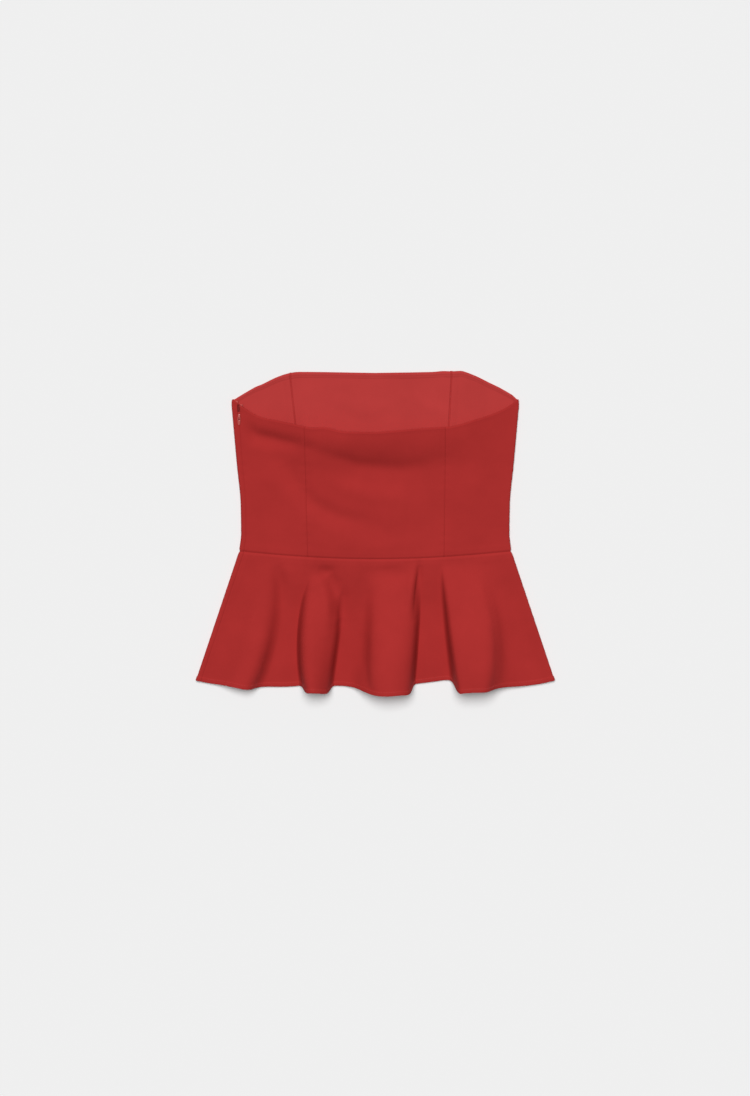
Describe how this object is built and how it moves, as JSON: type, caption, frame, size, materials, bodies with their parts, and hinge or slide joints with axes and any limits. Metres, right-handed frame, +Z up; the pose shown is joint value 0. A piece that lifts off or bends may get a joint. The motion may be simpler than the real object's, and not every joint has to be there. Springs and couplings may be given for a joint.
{
  "type": "strapless peplum top",
  "caption": "Strapless top laid flat on its front, with princess-seamed bodice, hidden side zip, waist seam and flared peplum in deep soft folds.",
  "frame": {"origin": "middle of the garment's outline, on the surface it lies on", "axes": "+X across the garment to the wearer's right hand side as seen from the back, +Y from the hem to the neckline, +Z up from the surface, out of the back of the garment"},
  "size_m": [0.48, 0.4412, 0.0417],
  "materials": {
    "cloth": "matt red crepe, close woven with a slight stretch",
    "zip_tape": "red woven tape",
    "zip_metal": "red lacquered metal"
  },
  "bodies": {
    "garment": {"front_centre": "cloth", "front_side_left": "cloth", "front_side_right": "cloth", "back_centre": "cloth", "back_side_left": "cloth", "back_side_right": "cloth", "front_peplum": "cloth", "back_peplum": "cloth", "zip_tape_front": "zip_tape", "zip_tape_back": "zip_tape", "zip_coil": "zip_tape", "zip_slider": "zip_metal"},
    "pull_tab": {"zip_pull": "zip_metal"}
  },
  "joints": [
    {"name": "pull_tab_hinge", "type": "hinge", "parent": "garment", "child": "pull_tab", "pos_m": [-0.18033, 0.16008, 0.0076], "axis": [-1, 0, 0], "range_deg": [0, 165]}
  ]
}
